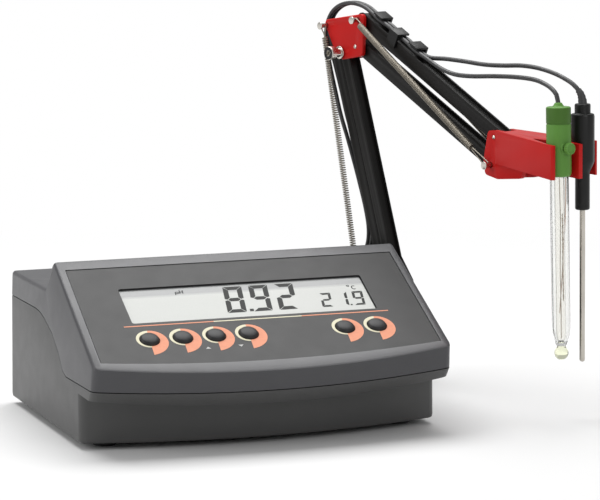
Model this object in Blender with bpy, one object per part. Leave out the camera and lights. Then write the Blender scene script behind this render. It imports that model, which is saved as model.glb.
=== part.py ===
"""Benchtop pH meter with a spring-balanced swing arm that carries a pH electrode and a probe.

Sizes are in millimetres and MM turns them into metres as a mesh or an empty is made.
Three spaces are used. "case" has its origin at the middle of the housing on the table, with the
front at -Y. "panel" lies in the sloping front panel: X across, Y up the slope and Z out of it,
with its origin at the panel's top edge. "arm" has its origin on the table under the swivel pin:
X points along the arm, Y to its right and Z up.
"""

import math

import bmesh
import bpy
from mathutils import Matrix, Vector

MM = 0.001
GAP = 0.4  # clearance between touching pieces
SEAM = 0.6  # upright distance between the two halves of the housing

# Where the housing and the arm stand
CASE_AT = (-54.19, -17.2)
PIN_AT = (143.26, 87.52)  # swivel pin, in the case's space
ARM_TURN = math.radians(-70)  # the arm points 20 degrees to the right of straight ahead

# Housing
HALF_WIDTH = 117.5
DRAFT = 2.75 / 67.2  # each side leans in by this much per unit of height
WALL = 2.5
REAR_Y = 111.0
PANEL_TOP = (1.2, 109.0)  # y, z of the panel's top edge
PANEL_TILT = math.radians(27.5)
FRONT_EDGE = (-99.7, 56.4)  # y, z at the panel's front corners
FRONT_SEAM = (-96.5, 41.8)
LIP_FOOT = (-92.1, 35.0)
TUB_FRONT = -66.5
BOW = 11.3  # how far the front bulges at its middle
EDGE_DIP, SEAM_DIP, LIP_DIP, TUB_BOW = 5.9, 4.3, 6.7, 19.8
DECK_Z = 89.2
SIDE_SEAM = [(-34, 41.3), (-25.5, 44), (-14.8, 53.3), (1.8, 63.3), (13.2, 67.1)]
SIDE_SEAM += [(21.8, 70), (33.5, 72.7), (45.5, 73.6), (REAR_Y, 73.2)]
TUB_FLOOR = 4.0
CORNER_R = 4.5  # the front's upright corners
EDGE_R = 2.2  # the sides' other outer edges
STATIONS = 17

# Panel
OVERLAY_TOP, OVERLAY_FOOT = 10.0, 108.0
OVERLAY_HALF_TOP, OVERLAY_HALF_FOOT = 109.2, 110.8
OVERLAY_BOW = 7.8
WINDOW = (81.0, 33.0, 70.0)  # half width, top and foot down the slope
KEY_DOWN = 87.6
KEY_X = (-74.6, -53.2, -31.8, -10.4, 53.5, 74.9)
KEY_R = 6.9

# Rear sockets: x along the rear wall, at one height
SOCKET_Z = 46.0
ELECTRODE_X, TEMPERATURE_X, POWER_X = 62.0, 34.0, -70.0

# Arm pivots, as (along the arm, up)
BASE_FRONT = (12.1, 68.15)
BASE_REAR = (-2.9, 86.15)
BASE_SPRING = (-19.0, 72.0)
ELBOW_KNOB = (-38.6, 226.2)
ELBOW_REAR = (-53.6, 244.2)
ELBOW_RIVET = (-22.8, 231.0)
ELBOW_FRONT = (-19.6, 249.4)
WRIST_TOP = (117.5, 178.6)
WRIST_LOW = (114.3, 160.2)
BAR_HALF = 4.6
LOWER_DEPTH, UPPER_DEPTH = 8.4, 10.0
CHEEK_IN, CHEEK_OUT = 5.0, 8.0
PIN_R, HOLE_R = 1.6, 1.95
SPRING_SIDE, SPRING_R = 10.8, 2.3
SIDES = {"left": -1, "right": 1}

# Electrode and probe
HOLD_X = 181.5
HOLD_SIDE = 10.4
ELECTRODE_LEAN = math.radians(-1.1)
CAP_R, GLASS_R, BULB_R = 7.95, 6.0, 4.6
HANDLE_R = 7.7
SLOT_HALF = 8.45

CABLE_R = 1.5

COLORS = {
    "grey_plastic": ((0.115, 0.118, 0.125), 0.55, 0),
    "overlay": ((0.16, 0.165, 0.165), 0.5, 0),
    "display": ((0.70, 0.72, 0.68), 0.25, 0),
    "rubber": ((0.02, 0.02, 0.02), 0.6, 0),
    "board": ((0.03, 0.16, 0.07), 0.5, 0),
    "steel": ((0.6, 0.6, 0.6), 0.3, 1),
    "nickel": ((0.68, 0.65, 0.60), 0.25, 1),
    "red_plastic": ((0.55, 0.012, 0.012), 0.35, 0),
    "black_plastic": ((0.022, 0.022, 0.024), 0.4, 0),
    "green_plastic": ((0.11, 0.32, 0.06), 0.4, 0),
    "glass": ((0.8, 0.85, 0.83), 0.05, 0),
    "bulb_glass": ((0.75, 0.78, 0.45), 0.1, 0),
    "cable": ((0.02, 0.02, 0.02), 0.5, 0),
}

frames = {}
frame_at = {}


def paint(name, slot):
    """The object's own material, in its slot's colour."""
    color, rough, metal = COLORS[slot]
    mat = bpy.data.materials.new(name)
    mat.use_nodes = True
    shader = mat.node_tree.nodes["Principled BSDF"]
    shader.inputs["Base Color"].default_value = (*color, 1)
    shader.inputs["Roughness"].default_value = rough
    shader.inputs["Metallic"].default_value = metal
    return mat


def frame(name, parent=None, at=(0, 0, 0), place=None, turn=(0, 0, 0)):
    """An empty that pieces are parented to; at is its place in its own space."""
    empty = bpy.data.objects.new(name, None)
    bpy.context.collection.objects.link(empty)
    place = Vector(at) - frame_at[parent] if place is None else Vector(place)
    empty.location = place * MM
    empty.rotation_euler = turn
    empty.parent = frames.get(parent)
    frames[name] = empty
    frame_at[name] = Vector(at)


def make(name, bm, holder):
    """A linked object from a bmesh whose vertices are in the holder's space."""
    bmesh.ops.recalc_face_normals(bm, faces=bm.faces)
    shift = Matrix.Translation(-frame_at[holder] * MM) @ Matrix.Scale(MM, 4)
    bmesh.ops.transform(bm, matrix=shift, verts=bm.verts)
    mesh = bpy.data.meshes.new(name)
    bm.to_mesh(mesh)
    bm.free()
    obj = bpy.data.objects.new(name, mesh)
    bpy.context.collection.objects.link(obj)
    obj.parent = frames[holder]
    return obj


def add(name, bm, slot, holder, soften=0.0):
    """A sub-part, with edges softened where soften is set."""
    obj = make(name, bm, holder)
    obj.data.materials.append(paint(name, slot))
    obj.data.shade_smooth()
    obj.data.set_sharp_from_angle(angle=math.radians(32))
    if soften:
        bevel = obj.modifiers.new("soften", "BEVEL")
        bevel.width = soften * MM
        bevel.segments = 1
        bevel.limit_method = "ANGLE"
        bevel.angle_limit = math.radians(38)
    return obj


def combine(obj, bm, holder, operation):
    """Cuts or joins another shape with an object."""
    tool = make(f"{obj.name}_{operation.lower()}_{len(obj.modifiers)}", bm, holder)
    tool.hide_render = True
    tool.display_type = "WIRE"
    boolean = obj.modifiers.new(operation.lower(), "BOOLEAN")
    boolean.operation = operation
    boolean.solver = "EXACT"
    boolean.object = tool


def cut(obj, bm, holder):
    combine(obj, bm, holder, "DIFFERENCE")


def join(obj, bm, holder):
    combine(obj, bm, holder, "UNION")


def loft(rings):
    """A closed solid through rings of points, capped at both ends."""
    bm = bmesh.new()
    rows = [[bm.verts.new(p) for p in ring] for ring in rings]
    for row, after in zip(rows, rows[1:]):
        for i in range(len(row)):
            j = (i + 1) % len(row)
            bm.faces.new((row[i], row[j], after[j], after[i]))
    bm.faces.new(rows[0])
    bm.faces.new(rows[-1])
    return bm


def prism(outline, low, high, along="z"):
    """An outline pushed from low to high along one axis; its points are on the other two."""

    def point(p, h):
        return {"x": (h, p[0], p[1]), "y": (p[0], h, p[1]), "z": (p[0], p[1], h)}[along]

    return loft([[point(p, h) for p in outline] for h in (low, high)])


def block(low, high):
    outline = [(low[0], low[1]), (high[0], low[1]), (high[0], high[1]), (low[0], high[1])]
    return prism(outline, low[2], high[2])


def rounded(corners, radius, steps=4):
    """A polygon with its corners turned into arcs."""
    points = []
    count = len(corners)
    for i, corner in enumerate(corners):
        here = Vector(corner)
        before = (Vector(corners[i - 1]) - here).normalized()
        after = (Vector(corners[(i + 1) % count]) - here).normalized()
        half = before.angle(after) / 2
        reach = radius / math.tan(half)
        center = here + (before + after).normalized() * radius / math.sin(half)
        start = here + before * reach - center
        sweep = start.angle_signed(here + after * reach - center)
        for k in range(steps + 1):
            turned = Matrix.Rotation(-sweep * k / steps, 2) @ start
            points.append(tuple(center + turned))
    return points


def turned(profile, at=(0, 0, 0), axis=(0, 0, 1), segments=16):
    """A turned solid. The profile holds (radius, height); it is a ring if no end is on the axis."""
    bm = bmesh.new()
    solid = profile[0][0] == 0
    turn = Vector((0, 0, 1)).rotation_difference(Vector(axis)).to_matrix()
    rows = []
    for radius, height in profile:
        row = []
        for k in range(segments if radius else 1):
            a = 2 * math.pi * k / segments
            place = Vector((radius * math.cos(a), radius * math.sin(a), height))
            row.append(bm.verts.new(turn @ place + Vector(at)))
        rows.append(row)
    pairs = list(zip(rows, rows[1:]))
    if not solid:
        pairs.append((rows[-1], rows[0]))
    for row, after in pairs:
        for k in range(segments):
            j = (k + 1) % segments
            if len(row) == 1:
                bm.faces.new((row[0], after[j], after[k]))
            elif len(after) == 1:
                bm.faces.new((row[k], row[j], after[0]))
            else:
                bm.faces.new((row[k], row[j], after[j], after[k]))
    return bm


def drum(radius, low, high, at=(0, 0, 0), axis=(0, 0, 1), segments=16):
    return turned([(0, low), (radius, low), (radius, high), (0, high)], at, axis, segments)


# ---------------------------------------------------------------- housing


def bulge(s):
    """1 at the middle of the front and 0 at its corners; s runs from -1 to 1."""
    return 1 - s * s


def side_x(s, z):
    return s * (HALF_WIDTH - DRAFT * max(0, z - FRONT_SEAM[1]))


def widths():
    """Stations across the width, from -1 to 1, closer together in the rounded ends."""
    ends = [CORNER_R * (1 - math.cos(math.radians(22.5 * k))) / HALF_WIDTH for k in range(5)]
    middle = [2 * k / (STATIONS - 1) - 1 for k in range(1, STATIONS - 1)]
    return [-1 + e for e in ends] + middle + [1 - e for e in reversed(ends)]


def body(profile, inset=0.0):
    """A body lofted across the width.

    profile gives the (y, z) outline for a bulge of 0 to 1 and a depth in from the side.
    """
    rings = []
    for s in widths():
        outline = profile(bulge(s), (1 - abs(s)) * HALF_WIDTH)
        rings.append([(side_x(s, z) - s * inset, y, z) for y, z in outline])
    return loft(rings)


def fall(radius, depth):
    """How far a rounded edge has fallen away at a depth in from the side."""
    return radius - math.sqrt(radius ** 2 - max(0.0, radius - depth) ** 2)


def upper_outline(b, depth):
    back, drop = fall(CORNER_R, depth), fall(EDGE_R, depth)
    off_panel = Vector((math.sin(PANEL_TILT), -math.cos(PANEL_TILT))) * drop
    seam = (FRONT_SEAM[0] - BOW * b + back, FRONT_SEAM[1] - SEAM_DIP * b)
    edge = Vector((FRONT_EDGE[0] - BOW * b + back, FRONT_EDGE[1] - EDGE_DIP * b))
    edge += Vector((0, back * math.tan(PANEL_TILT))) + off_panel
    lip = [edge + Vector((0.45, -1.9)), edge + Vector((0.2, -0.5)), edge + Vector((1.3, 0.65))]
    crest = [Vector(p) + off_panel for p in ((-0.6, 108.1), (1.0, 108.6), (2.6, 107.7))]
    foot = [(18.3, 91.0 - drop), (19.4, 89.8 - drop), (21.2, DECK_Z - drop)]
    rear = [(109.2 - drop, DECK_Z - drop), (110.5 - drop, 88.7 - drop)]
    rear += [(REAR_Y - drop, 87.4 - drop)]
    points = [seam, *[tuple(p) for p in lip + crest], *foot, *rear]
    return points + [(min(y, REAR_Y - drop), z) for y, z in reversed(SIDE_SEAM)]


def upper_hollow(b, depth):
    points = [(-91.4 - BOW * b, 30), (-96.9 - BOW * b, 55.1 - EDGE_DIP * b), (0.7, 105.9)]
    return points + [(18.95, 86.7), (108.5, 86.7), (108.5, 30)]


def lower_outline(b, depth):
    back, drop = fall(CORNER_R, depth), fall(EDGE_R, depth)
    seam = (FRONT_SEAM[0] - BOW * b + back, FRONT_SEAM[1] - SEAM_DIP * b - SEAM)
    lip = (LIP_FOOT[0] - BOW * b + back, LIP_FOOT[1] - LIP_DIP * b)
    front = TUB_FRONT - TUB_BOW * b + back
    rear = REAR_Y - drop
    floor = TUB_FLOOR + drop * 0.8
    points = [(rear, floor + 1.6), (rear - 1.6, floor), (front + 1.8, floor)]
    points += [(front + 0.5, floor + 0.5), (front, floor + 1.8), (front, lip[1] + 0.4)]
    points += [(lip[0] + 0.9, lip[1]), (lip[0], lip[1] + 1.0), seam]
    return points + [(min(y, rear), z - SEAM) for y, z in SIDE_SEAM]


def lower_hollow(b, depth):
    front = TUB_FRONT - TUB_BOW * b + WALL
    shelf = LIP_FOOT[1] - LIP_DIP * b + WALL
    lip = LIP_FOOT[0] - BOW * b + 3.2
    floor = TUB_FLOOR + WALL
    return [(108.5, floor), (front, floor), (front, shelf), (lip, shelf), (lip, 95), (108.5, 95)]


def overlay_outline(grow):
    """The overlay's outline on the panel, larger all round by grow."""
    top = -OVERLAY_TOP + grow
    points = [(-OVERLAY_HALF_TOP - grow, top), (OVERLAY_HALF_TOP + grow, top)]
    for k in range(17):
        s = 1 - k / 8
        x = s * (OVERLAY_HALF_FOOT + grow)
        points.append((x, -OVERLAY_FOOT - grow - OVERLAY_BOW * bulge(s)))
    return points


def window_outline(grow):
    half, top, foot = WINDOW
    corners = [(-half - grow, -foot - grow), (half + grow, -foot - grow)]
    corners += [(half + grow, -top + grow), (-half - grow, -top + grow)]
    return rounded(corners, 1.5 + grow / 2, 3)


def housing():
    upper = add("upper_case", body(upper_outline), "grey_plastic", "case")
    cut(upper, body(upper_hollow, WALL), "case")
    cut(upper, prism(overlay_outline(GAP), -1.4, 8), "panel")
    cut(upper, prism(window_outline(0), -8, 8), "panel")
    lower = add("lower_case", body(lower_outline), "grey_plastic", "case")
    cut(lower, body(lower_hollow, WALL), "case")
    for x in KEY_X:
        hole = drum(KEY_R + 0.4, -8, 8, (x, -KEY_DOWN, 0))
        cut(upper, hole, "panel")
    for x, radius in ((ELECTRODE_X, 6.0), (TEMPERATURE_X, 5.0), (POWER_X, 6.0)):
        hole = drum(radius + GAP, -8, 8, (x, REAR_Y, SOCKET_Z), (0, 1, 0))
        cut(lower, hole, "case")
    for x in (-98, 98):
        for y in (-52, 55):
            cut(lower, drum(2.5 + GAP, -8, 8, (x, y, TUB_FLOOR), segments=16), "case")


def panel():
    overlay = add("front_overlay", prism(overlay_outline(0), -1.05, -0.35), "overlay", "panel")
    cut(overlay, prism(window_outline(0), -8, 8), "panel")
    bezel = add("display_bezel", prism(window_outline(4.5), -4.1, -2.85), "grey_plastic", "panel")
    cut(bezel, prism(window_outline(0), -8, 8), "panel")
    glass = add("display_glass", prism(window_outline(3.5), -6.4, -4.5), "display", "panel")
    join(glass, prism(window_outline(-GAP), -5.0, -1.5), "panel")
    add("main_board", prism(rounded([(-100, -96), (100, -96), (100, -16), (-100, -16)], 3, 2),
                            -15.6, -14.0), "board", "panel")
    dome = [(0, -12.4), (4.5, -12.4), (4.5, -4.4), (8.3, -4.4), (8.3, -3.1), (KEY_R, -3.1)]
    dome += [(KEY_R, 0.7), (6.2, 1.5), (3.6, 2.0), (0, 2.15)]
    for i, x in enumerate(KEY_X):
        cut(overlay, drum(KEY_R + 0.4, -8, 8, (x, -KEY_DOWN, 0)), "panel")
        key = f"key_{i + 1}"
        frame(f"{key}_axis", "panel", (x, -KEY_DOWN, 0))
        add(key, turned(dome, (x, -KEY_DOWN, 0)), "rubber", f"{key}_axis")


def rear_sockets():
    """Sockets that stand through the rear wall, and the plugs in them."""
    back = (0, 1, 0)
    inside = -WALL - GAP
    outside = GAP
    barrel = [(0, inside - 7), (7.5, inside - 7), (7.5, inside), (6.0, inside), (6.0, outside)]
    barrel += [(7.2, outside), (7.2, 2.2), (4.8, 2.2), (4.8, 11), (0, 11)]
    at = (ELECTRODE_X, REAR_Y, SOCKET_Z)
    add("electrode_socket", turned(barrel, at, back), "nickel", "case")
    shell = [(5.3, 3), (7.2, 3), (7.2, 15), (6.2, 16), (4.6, 24), (3.4, 30), (3.0, 33), (0, 33)]
    shell = [(0, 14), (5.3, 13.9)] + shell
    add("electrode_plug", turned(shell, at, back), "nickel", "case")
    barrel = [(0, inside - 7), (6.5, inside - 7), (6.5, inside), (5.0, inside), (5.0, outside)]
    barrel += [(6.5, outside), (6.5, 1.6), (4.2, 1.6), (4.2, 8), (0, 8)]
    at = (TEMPERATURE_X, REAR_Y, SOCKET_Z)
    add("temperature_socket", turned(barrel, at, back), "nickel", "case")
    shell = [(0, 12), (4.65, 11.9), (4.65, 2.4), (5.6, 2.4), (5.6, 20), (4.8, 22), (3.2, 31), (0, 31)]
    add("temperature_plug", turned(shell, at, back), "black_plastic", "case")
    barrel = [(3.4, inside - 9), (6.8, inside - 9), (6.8, inside), (6.0, inside), (6.0, outside)]
    barrel += [(7.4, outside), (7.4, 1.6), (3.4, 1.6)]
    at = (POWER_X, REAR_Y, SOCKET_Z)
    add("power_inlet", turned(barrel, at, back), "black_plastic", "case")


def feet():
    profile = [(0, 0), (7.0, 0), (7.6, 0.6), (7.6, TUB_FLOOR - GAP), (2.5, TUB_FLOOR - GAP)]
    profile += [(2.5, TUB_FLOOR + 5), (0, TUB_FLOOR + 5)]
    number = 0
    for x in (-98, 98):
        for y in (-52, 55):
            number += 1
            add(f"foot_{number}", turned(profile, (x, y, 0)), "rubber", "case")


# ---------------------------------------------------------------- arm


def arm_mount():
    corners = [(-92, -14), (-92, 15), (12, 15), (12, -14)]
    turn = Matrix.Rotation(-ARM_TURN, 2)
    outline = [tuple(turn @ Vector(p)) for p in rounded(corners, 6, 4)]
    plate = add("arm_plate", prism(outline, 1.9, 3.6), "steel", "arm")
    cut(plate, drum(3.35, 0, 8), "arm")
    pin = [(0, 1.95), (3.0, 1.95), (3.0, 3.95), (7.0, 3.95), (7.0, 5.2), (4.0, 5.2), (4.0, 54)]
    pin += [(3.4, 55), (0, 55)]
    add("arm_pin", turned(pin), "steel", "arm")
    add("plate_pad", drum(11, 0, 1.55), "rubber", "arm")


def swivel_base():
    lower = [(-13, 6), (13, 6), (19.5, 46), (19.5, 61.5), (-24, 61.5), (-24, 50)]
    base = add("swivel_base", prism(rounded(lower, 4), -9.5, 9.5, "y"), "black_plastic", "swivel")
    cheek = [(-24.5, 58), (19, 58), (18.5, 72), (2, 92.5), (-8, 92.5), (-25, 77)]
    for side in SIDES.values():
        span = sorted((side * (CHEEK_IN + 0.05), side * CHEEK_OUT))
        join(base, prism(rounded(cheek, 4), *span, "y"), "swivel")
    cut(base, drum(4.0 + GAP, 0, 56.5), "swivel")
    for x, z in (BASE_FRONT, BASE_REAR, BASE_SPRING):
        cut(base, drum(HOLE_R, -20, 20, (x, 0, z), (0, 1, 0), 16), "swivel")


def pin(name, spot, reach, holder, slot="nickel", radius=PIN_R):
    """A pin across the arm with a head at each end, just outside the cheeks or at reach."""
    head = 1.1
    profile = [(0, -reach), (radius + 1, -reach), (radius + 1, -reach + head)]
    profile += [(radius, -reach + head), (radius, reach - head), (radius + 1, reach - head)]
    profile += [(radius + 1, reach), (0, reach)]
    add(name, turned(profile, (spot[0], 0, spot[1]), (0, 1, 0), 16), slot, holder)


def bar(name, start, end, depth, holder, channel_side):
    """A channel-section bar between two pivots, with its groove on one side."""
    a, b = Vector(start), Vector(end)
    along = (b - a).normalized()
    out = Vector((-along.y, along.x)) * channel_side
    half = depth / 2
    outline = []
    for center, first in ((a, math.pi / 2), (b, -math.pi / 2)):
        for k in range(9):
            angle = first + math.pi * k / 8
            local = Vector((math.cos(angle), math.sin(angle))) * half
            outline.append(tuple(center + along * local.x + out * local.y))
    obj = add(name, prism(outline, -BAR_HALF, BAR_HALF, "y"), "black_plastic", holder)
    groove = 0.24 * depth
    low, high = a + along * -20, b + along * 20
    corners = [low + out * (half - groove), high + out * (half - groove)]
    corners += [high + out * (half + 5), low + out * (half + 5)]
    inner = BAR_HALF - 1.15
    cut(obj, prism([tuple(c) for c in corners], -inner, inner, "y"), holder)
    for x, z in (start, end):
        cut(obj, drum(HOLE_R, -20, 20, (x, 0, z), (0, 1, 0), 16), holder)


def spring(name, start, end, side, holder):
    """The outer shape of a balance spring between two pins."""
    a = Vector((start[0], side * SPRING_SIDE, start[1]))
    b = Vector((end[0], side * SPRING_SIDE, end[1]))
    length = (b - a).length
    stop = PIN_R + 0.5
    profile = [(0, stop), (1.0, stop), (SPRING_R, stop + 3), (SPRING_R, length - stop - 3)]
    profile += [(1.0, length - stop), (0, length - stop)]
    add(name, turned(profile, a, (b - a).normalized(), 12), "nickel", holder)


def elbow():
    corners = [(-57.2, 247.8), (-13.7, 254.0), (-15.2, 224.9), (-36.6, 221.4), (-43.2, 223.4)]
    for name, side in SIDES.items():
        span = sorted((side * CHEEK_IN, side * CHEEK_OUT))
        plate = add(f"elbow_plate_{name}", prism(rounded(corners, 3), *span, "y"), "red_plastic",
                    "elbow", 0.5)
        for x, z in (ELBOW_KNOB, ELBOW_REAR, ELBOW_RIVET, ELBOW_FRONT):
            cut(plate, drum(HOLE_R, -20, 20, (x, 0, z), (0, 1, 0), 16), "elbow")
    pin("elbow_rear_pin", ELBOW_REAR, 14.3, "elbow")
    pin("elbow_front_pin", ELBOW_FRONT, 14.3, "elbow")
    pin("elbow_rivet", ELBOW_RIVET, CHEEK_OUT + 1.45, "elbow")
    bolt = [(0, -17.0), (PIN_R, -17.0), (PIN_R, 8.35), (4.2, 8.35), (4.2, 11), (3.4, 11.8), (0, 11.8)]
    at = (ELBOW_KNOB[0], 0, ELBOW_KNOB[1])
    add("elbow_bolt", turned(bolt, at, (0, 1, 0), 16), "nickel", "elbow")
    knob = [(HOLE_R, -19), (4.9, -19), (4.9, -14.6), (3.2, -14.0), (3.2, -9.8), (4.6, -9.5)]
    knob += [(4.6, -8.4), (HOLE_R, -8.4)]
    frame("knob_axis", "elbow", at)
    add("elbow_knob", turned(knob, at, (0, 1, 0)), "nickel", "knob_axis")


def clips():
    """Three hooks that hold the cables down on the top bar, on alternate sides."""
    a, b = Vector(ELBOW_FRONT), Vector(WRIST_TOP)
    along = (b - a).normalized()
    up = Vector((-along.y, along.x))
    half = UPPER_DEPTH / 2
    for number, (distance, side) in enumerate(((12.8, 1), (34.8, -1), (53.5, 1)), 1):
        mid = a + along * distance
        wall_in = BAR_HALF + GAP

        def outline(low, high, front=-4.6, rear=4.6):
            corners = [(front, low), (rear, low), (rear, high), (front, high)]
            return [tuple(mid + along * x + up * z) for x, z in corners]

        span = sorted((side * wall_in, side * (wall_in + 1.4)))
        name = f"cable_clip_{number}"
        clip = add(name, prism(outline(half - 5, half + 5.8), *span, "y"), "black_plastic",
                   "upper_top")
        span = sorted((side * (wall_in + 0.7), -side * (BAR_HALF - 0.6)))
        join(clip, prism(outline(half + 4.5, half + 5.85, -4.55, 4.55), *span, "y"), "upper_top")


def holder():
    """The forked holder: a wedge with two slots, carried by two cheeks."""
    cheeks = [(112.0, 183.0), (146, 180.6), (146, 162), (144, 153.4), (121, 151.3), (109, 153.6),
              (107.4, 163)]
    obj = add("electrode_holder", prism(rounded(cheeks, 3), -CHEEK_OUT, CHEEK_OUT, "y"),
              "red_plastic", "wrist")
    droop = 0.063
    tall = 22.0
    near, far = 187.0, 184.5
    plan = [(118.5, -7.9), (near - 1.2, -21.6), (near, -20.8), (near, -HOLD_SIDE - SLOT_HALF)]
    plan += [(near, -2.1), (190.6, -1.6), (190.6, 1.6), (near, 2.1)]
    plan += [(far, HOLD_SIDE + SLOT_HALF), (far, 20.4), (far - 1.2, 21.2), (118.5, 7.9)]

    def top(x):
        return 183.3 - droop * (x - WRIST_TOP[0])

    join(obj, loft([[(x, y, top(x) - tall * k) for x, y in plan] for k in (1, 0)]), "wrist")
    for side in SIDES.values():
        middle = side * HOLD_SIDE
        slot = [(200, -SLOT_HALF), (HOLD_X, -SLOT_HALF), (178.6, -7.8), (159, -1.2), (158, 0)]
        slot += [(159, 1.2), (178.6, 7.8), (HOLD_X, SLOT_HALF), (200, SLOT_HALF)]
        cut(obj, prism([(x, y + middle) for x, y in slot], 140, 200), "wrist")
    cut(obj, block((95, -CHEEK_IN, 140), (125.5, CHEEK_IN, 200)), "wrist")
    cut(obj, block((125, -CHEEK_IN, 140), (150, CHEEK_IN, 157.5)), "wrist")
    for x, z in (WRIST_TOP, WRIST_LOW):
        cut(obj, drum(HOLE_R, -20, 20, (x, 0, z), (0, 1, 0), 16), "wrist")


def electrode():
    """Green cap with its refill plug, glass tube and sensing bulb, about the electrode's axis."""
    at = (HOLD_X, -HOLD_SIDE, 0)
    cap = [(0, 158.3), (7.2, 158.3), (CAP_R, 160.2), (CAP_R, 191.6), (7.55, 191.8), (7.55, 192.3)]
    cap += [(CAP_R, 192.5), (CAP_R, 202.2), (7.3, 202.8), (3.4, 202.9), (2.2, 205.4), (0, 205.5)]
    obj = add("electrode_cap", turned(cap, at, segments=24), "green_plastic", "electrode")
    facing = Vector((1.0, -0.08, 0)).normalized()
    spot = Vector((HOLD_X, -HOLD_SIDE, 176.6))
    cut(obj, drum(2.6 + GAP, 5.2, 12, spot, facing, 16), "electrode")
    plug = [(0, 5.55), (2.6, 5.55), (2.6, 8.9), (3.3, 9.1), (3.9, 9.6), (3.9, 12.0), (3.4, 12.6)]
    plug += [(0, 12.7)]
    frame("refill_axis", "electrode", spot)
    add("refill_plug", turned(plug, spot, facing), "green_plastic", "refill_axis")
    tube = [(0, 50.6), (2.6, 50.6), (5.0, 60.5), (5.0, 157.95), (GLASS_R, 157.95)]
    tube += [(GLASS_R, 60.2), (5.3, 56.0), (3.4, 49.2), (0, 49.2)]
    add("electrode_glass", turned(tube, at, segments=20), "glass", "electrode")
    ball = 44.5
    bulb = [(0, ball - BULB_R)]
    for k in range(1, 8):
        angle = math.radians(-90 + 18 * k)
        bulb.append((BULB_R * math.cos(angle), ball + BULB_R * math.sin(angle)))
    bulb += [(3.0, 48.2), (3.0, 48.85), (0, 48.85)]
    add("electrode_bulb", turned(bulb, at), "bulb_glass", "electrode")


def probe():
    at = (HOLD_X, HOLD_SIDE, 0)
    grip = [(0, 135.1), (4.3, 135.1), (4.75, 135.8), (4.75, 159.6), (HANDLE_R, 166.2)]
    grip += [(HANDLE_R, 195.8), (6.9, 197.2), (5.2, 197.4), (5.2, 203.0), (4.6, 203.6), (0, 203.6)]
    add("probe_handle", turned(grip, at, segments=20), "black_plastic", "probe")
    tube = [(0, 36.1), (1.2, 36.4), (1.8, 37.3), (1.8, 134.75), (0, 134.75)]
    add("probe_tube", turned(tube, at, segments=12), "steel", "probe")


# ---------------------------------------------------------------- cables

# Routes in the arm's space: from the electrode or probe over the elbow and down the lower arm.
# The stretch on the top bar is given separately, as (along the bar, above its middle).
ELECTRODE_FRONT = [
    (180.2, -10.4, 207.2), (178.6, -10.0, 210.4), (174.0, -9.4, 213.6), (167.0, -8.6, 216.2),
    (156.0, -7.7, 218.4), (138.0, -6.6, 219.0), (116.0, -5.6, 218.3), (92.0, -4.5, 216.9),
    (74.0, -3.6, 217.2), (59.0, -2.6, 220.3),
]
PROBE_FRONT = [
    (181.3, 10.4, 205.6), (179.8, 10.1, 210.0), (175.6, 9.6, 214.2), (169.6, 9.0, 217.6),
    (158.0, 8.1, 221.6), (143.0, 7.2, 224.4), (128.0, 6.4, 225.2), (112.0, 5.5, 224.4),
    (95.0, 4.6, 224.2), (76.0, 3.6, 225.4), (59.0, 2.6, 226.2),
]
ON_BAR = [(66.0, 8.3), (53.5, 7.2), (44.0, 8.0), (34.8, 7.3), (24.0, 8.2), (12.8, 7.0)]
OVER_ELBOW = [(-12.6, 254.5), (-22.0, 258.6), (-34.0, 260.2), (-46.0, 258.2), (-55.6, 252.4)]
OVER_ELBOW += [(-61.0, 243.0), (-61.6, 231.0)]
ELECTRODE_DOWN = [
    (-57.0, -2.1, 215.0), (-51.6, -2.0, 198.0), (-46.0, -2.0, 182.0), (-39.2, -1.6, 166.0),
    (-33.2, -0.9, 150.0), (-27.6, -0.3, 134.0), (-22.4, 0.1, 118.0), (-19.4, 0.0, 104.0),
    (-20.8, -0.8, 92.0), (-27.6, -3.4, 80.0), (-33.6, -7.0, 60.0), (-37.0, -9.0, 38.0),
]
PROBE_DOWN = [
    (-56.2, 2.1, 215.0), (-50.0, 2.2, 198.0), (-44.8, 2.4, 182.0), (-38.8, 2.8, 166.0),
    (-33.4, 3.2, 150.0), (-28.0, 3.6, 134.0), (-22.8, 4.0, 118.0), (-20.0, 4.0, 104.0),
    (-22.0, 4.0, 92.0), (-28.4, 4.6, 80.0), (-33.6, 6.0, 60.0), (-36.0, 7.0, 38.0),
]
# The coil on the table behind the housing, in the case's space
COIL_AT = (86.0, 146.0)
COIL_MIDDLE, COIL_STEP = 19.4, 3.3
COIL_HEIGHT = 13.8


def smooth(points, count):
    """Points at even distances on a Catmull-Rom curve through the given ones."""
    knots = [Vector(p) for p in points]
    knots = [knots[0] * 2 - knots[1], *knots, knots[-1] * 2 - knots[-2]]
    fine = []
    for p0, p1, p2, p3 in zip(knots, knots[1:], knots[2:], knots[3:]):
        for k in range(12):
            t = k / 12
            fine.append(0.5 * (2 * p1 + (p2 - p0) * t + (2 * p0 - 5 * p1 + 4 * p2 - p3) * t * t
                               + (3 * p1 - p0 - 3 * p2 + p3) * t ** 3))
    fine.append(knots[-2])
    along = [0.0]
    for a, b in zip(fine, fine[1:]):
        along.append(along[-1] + (b - a).length)
    picked = []
    i = 0
    for k in range(count):
        want = along[-1] * k / (count - 1)
        while i < len(along) - 2 and along[i + 1] < want:
            i += 1
        share = (want - along[i]) / (along[i + 1] - along[i])
        picked.append(fine[i].lerp(fine[i + 1], min(1.0, share)))
    return picked


def cable(name, points, count, holder):
    curve = bpy.data.curves.new(name, "CURVE")
    curve.dimensions = "3D"
    curve.bevel_depth = CABLE_R * MM
    curve.bevel_resolution = 2
    curve.use_fill_caps = True
    spline = curve.splines.new("POLY")
    route = smooth(points, count)
    spline.points.add(len(route) - 1)
    for target, p in zip(spline.points, route):
        target.co = (*((p - frame_at[holder]) * MM), 1)
    curve.materials.append(paint(name, "cable"))
    obj = bpy.data.objects.new(name, curve)
    bpy.context.collection.objects.link(obj)
    obj.parent = frames[holder]


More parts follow.
